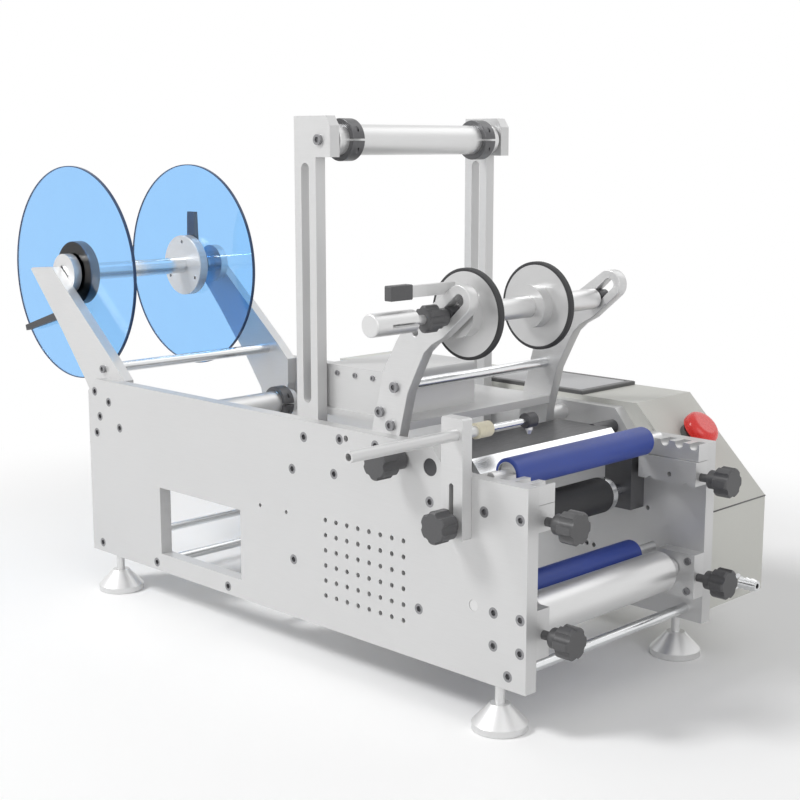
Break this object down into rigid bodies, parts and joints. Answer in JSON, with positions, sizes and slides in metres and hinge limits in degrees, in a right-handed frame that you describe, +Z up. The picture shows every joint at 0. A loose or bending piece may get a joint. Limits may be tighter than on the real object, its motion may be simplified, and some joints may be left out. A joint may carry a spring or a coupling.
{
  "type": "bottle labelling machine",
  "caption": "Bench-top round bottle labelling machine: label reel, guide rollers, peel plate, feed rollers, press wheels and a control box with a stop button.",
  "frame": {"origin": "centre of the bounding box, on the floor under the feet", "axes": "+X towards the roller end where bottles are put in, +Y towards the control box, +Z up"},
  "size_m": [0.8934, 0.5116, 0.527],
  "materials": {
    "plate_aluminium": "satin anodised, fine grain",
    "arm_aluminium": "satin machined",
    "bright_steel": "ground and polished",
    "steel": "turned",
    "dark_steel": "blackened",
    "blue_rubber": "smooth silicone sleeve",
    "black_rubber": "ground rubber",
    "blue_acrylic": "clear tinted sheet",
    "knob_plastic": "moulded, fine texture",
    "box_paint": "powder coat",
    "panel_plastic": "moulded",
    "cream_plastic": "turned nylon",
    "red_plastic": "glossy",
    "board_green": "lacquered board",
    "dark_slab": "dark anodised"
  },
  "bodies": {
    "frame": {"near_side_plate": "plate_aluminium", "far_side_plate": "plate_aluminium", "tie_rods": "bright_steel", "frame_screws": "dark_steel", "rail_bars": "arm_aluminium", "bearing_blocks": "arm_aluminium", "gantry_posts": "plate_aluminium", "gantry_caps": "arm_aluminium", "rear_arms": "arm_aluminium", "reel_housings": "steel", "front_arms": "arm_aluminium", "arm_spacers": "arm_aluminium", "deck_plate": "plate_aluminium", "top_cover": "plate_aluminium", "lift_bar": "arm_aluminium", "lift_bar_grip": "knob_plastic", "box_base": "box_paint", "box_lid": "box_paint", "operator_panel": "panel_plastic", "stop_collar": "panel_plastic", "hose_barb": "bright_steel", "power_supply": "steel", "control_board": "board_green", "drive_motor": "dark_steel", "levelling_feet": "steel"},
    "upper_blue_roller_body": {"upper_blue_roller": "blue_rubber"},
    "lower_blue_roller_body": {"lower_blue_roller": "blue_rubber"},
    "silver_roller_body": {"silver_roller": "bright_steel"},
    "rubber_roller_body": {"rubber_roller": "black_rubber", "rubber_roller_shaft": "bright_steel"},
    "gantry_roller_body": {"gantry_roller": "steel", "gantry_collars": "dark_steel"},
    "guide_roller_body": {"guide_roller": "steel", "guide_collars": "dark_steel"},
    "reel": {"reel_shaft": "bright_steel", "near_reel_disc": "blue_acrylic", "near_reel_hub": "dark_steel", "far_reel_hub": "steel", "far_reel_disc": "blue_acrylic"},
    "reel_clamp": {"reel_clamp_lever": "dark_steel"},
    "brake": {"brake_lever": "dark_steel"},
    "press_carriage": {"press_bearings": "dark_steel"},
    "press_roller": {"press_shaft": "steel", "shaft_stub": "steel", "press_wheels": "steel", "press_tyres": "black_rubber"},
    "press_clamp": {"press_knob": "knob_plastic"},
    "peel": {"peel_plate": "dark_slab"},
    "peel_clamp": {"peel_knob": "knob_plastic"},
    "sensor_clamp": {"sensor_knob": "knob_plastic"},
    "sensor_mount": {"sensor_block": "arm_aluminium"},
    "sensor_probe": {"sensor_tube": "arm_aluminium", "sensor_bush": "cream_plastic", "sensor_rod": "bright_steel", "sensor_head": "dark_steel"},
    "stop": {"stop_button": "red_plastic"},
    "near_top_knob_body": {"near_top_knob": "knob_plastic"},
    "far_top_knob_body": {"far_top_knob": "knob_plastic"},
    "near_bottom_knob_body": {"near_bottom_knob": "knob_plastic"},
    "far_bottom_knob_body": {"far_bottom_knob": "knob_plastic"}
  },
  "joints": [
    {"name": "upper_blue_roller_spin", "type": "hinge", "parent": "frame", "child": "upper_blue_roller_body", "pos_m": [0.35575, 0.02125, 0.2185], "axis": [0, 1, 0], "continuous": true},
    {"name": "lower_blue_roller_spin", "type": "hinge", "parent": "frame", "child": "lower_blue_roller_body", "pos_m": [0.35075, 0.02125, 0.1065], "axis": [0, 1, 0], "continuous": true},
    {"name": "silver_roller_spin", "type": "hinge", "parent": "frame", "child": "silver_roller_body", "pos_m": [0.38475, 0.02125, 0.0955], "axis": [0, 1, 0], "continuous": true},
    {"name": "rubber_roller_spin", "type": "hinge", "parent": "frame", "child": "rubber_roller_body", "pos_m": [0.32275, 0.02125, 0.163], "axis": [0, 1, 0], "continuous": true},
    {"name": "gantry_roller_spin", "type": "hinge", "parent": "frame", "child": "gantry_roller_body", "pos_m": [0.14075, 0.02125, 0.505], "axis": [0, 1, 0], "continuous": true},
    {"name": "guide_roller_spin", "type": "hinge", "parent": "frame", "child": "guide_roller_body", "pos_m": [-0.17925, 0.02125, 0.1896], "axis": [0, 1, 0], "continuous": true},
    {"name": "reel_spin", "type": "hinge", "parent": "frame", "child": "reel", "pos_m": [-0.32225, 0.02125, 0.351], "axis": [0, 1, 0], "continuous": true},
    {"name": "reel_clamp_turn", "type": "hinge", "parent": "reel", "child": "reel_clamp", "pos_m": [-0.32225, 0.10025, 0.351], "axis": [0, 1, 0], "range_deg": [0, 90]},
    {"name": "brake_turn", "type": "hinge", "parent": "frame", "child": "brake", "pos_m": [-0.30725, -0.08875, 0.31], "axis": [0, 1, 0], "range_deg": [-12, 12]},
    {"name": "press_shift", "type": "slide", "parent": "frame", "child": "press_carriage", "axis": [0.7431, 0, 0.6691], "range_m": [0, 0.018]},
    {"name": "press_spin", "type": "hinge", "parent": "press_carriage", "child": "press_roller", "pos_m": [0.30075, 0.02125, 0.353], "axis": [0, 1, 0], "continuous": true},
    {"name": "press_knob_turn", "type": "hinge", "parent": "press_carriage", "child": "press_clamp", "pos_m": [0.30075, -0.11875, 0.353], "axis": [0, 1, 0], "continuous": true},
    {"name": "peel_tilt", "type": "hinge", "parent": "frame", "child": "peel", "pos_m": [0.29825, 0.02125, 0.221], "axis": [0, 1, 0], "range_deg": [-8, 8]},
    {"name": "peel_knob_turn", "type": "hinge", "parent": "frame", "child": "peel_clamp", "pos_m": [0.26275, -0.13875, 0.223], "axis": [0, 1, 0], "continuous": true},
    {"name": "sensor_knob_turn", "type": "hinge", "parent": "frame", "child": "sensor_clamp", "pos_m": [0.33475, -0.14375, 0.179], "axis": [0, 1, 0], "continuous": true},
    {"name": "sensor_height", "type": "slide", "parent": "frame", "child": "sensor_mount", "axis": [0, 0, 1], "range_m": [-0.004, 0.003]},
    {"name": "sensor_reach", "type": "slide", "parent": "sensor_mount", "child": "sensor_probe", "axis": [0, 1, 0], "range_m": [-0.01, 0.02]},
    {"name": "stop_press", "type": "slide", "parent": "frame", "child": "stop", "axis": [-0.709, 0, -0.7052], "range_m": [0, 0.004], "stiffness_N_per_m": 500, "springref_m": -0.002},
    {"name": "near_top_knob_turn", "type": "hinge", "parent": "frame", "child": "near_top_knob_body", "pos_m": [0.43575, -0.09375, 0.188], "axis": [1, 0, 0], "continuous": true},
    {"name": "far_top_knob_turn", "type": "hinge", "parent": "frame", "child": "far_top_knob_body", "pos_m": [0.43575, 0.13775, 0.188], "axis": [1, 0, 0], "continuous": true},
    {"name": "near_bottom_knob_turn", "type": "hinge", "parent": "frame", "child": "near_bottom_knob_body", "pos_m": [0.43575, -0.09575, 0.089], "axis": [1, 0, 0], "continuous": true},
    {"name": "far_bottom_knob_turn", "type": "hinge", "parent": "frame", "child": "far_bottom_knob_body", "pos_m": [0.43575, 0.13825, 0.089], "axis": [1, 0, 0], "continuous": true}
  ]
}
